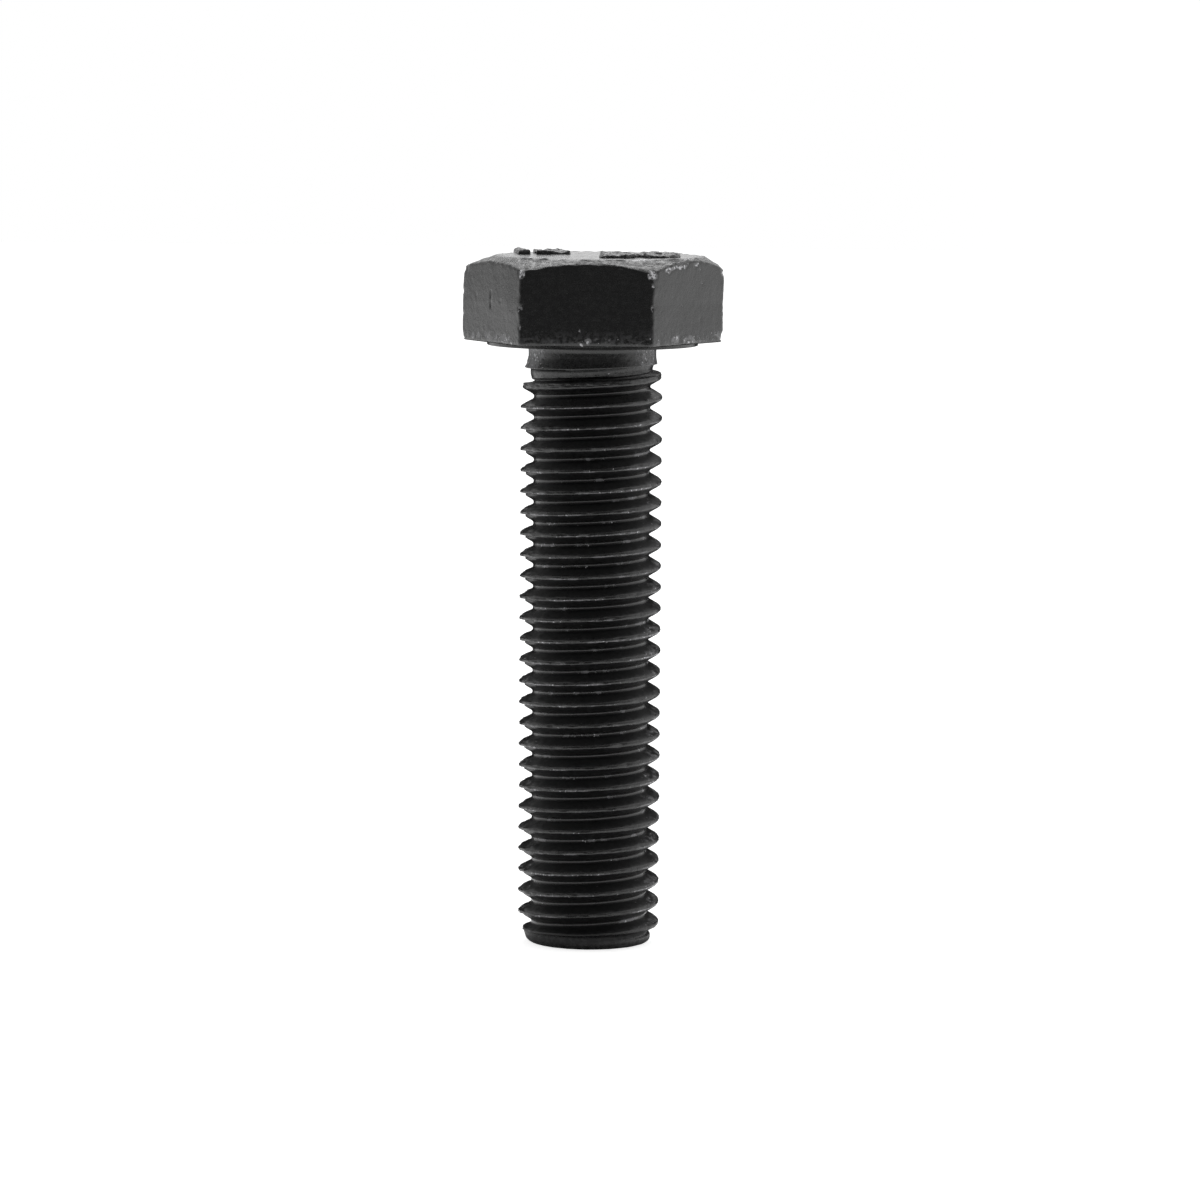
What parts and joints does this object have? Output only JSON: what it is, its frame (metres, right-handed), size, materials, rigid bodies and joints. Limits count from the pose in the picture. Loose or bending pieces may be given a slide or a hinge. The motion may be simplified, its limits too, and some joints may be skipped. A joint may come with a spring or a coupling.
{
  "type": "hex bolt",
  "caption": "Fully threaded hexagon-head bolt with a washer face, a short plain neck and a chamfered point, for clamping parts through a hole or into a tapped hole.",
  "frame": {"origin": "centre of the bearing face under the head, on the thread axis", "axes": "+Z along the thread axis towards the top of the head, with the shank on the -Z side; +X towards a corner of the hexagon, so +Y is square to one of its flats"},
  "size_m": [0.0216, 0.0186, 0.0571],
  "materials": {
    "black_oxide_steel": "black oxide over forged and rolled steel, satin, with pale nicks on the corners and thread crests"
  },
  "bodies": {
    "root": {"hex_bolt": "black_oxide_steel"}
  },
  "joints": []
}
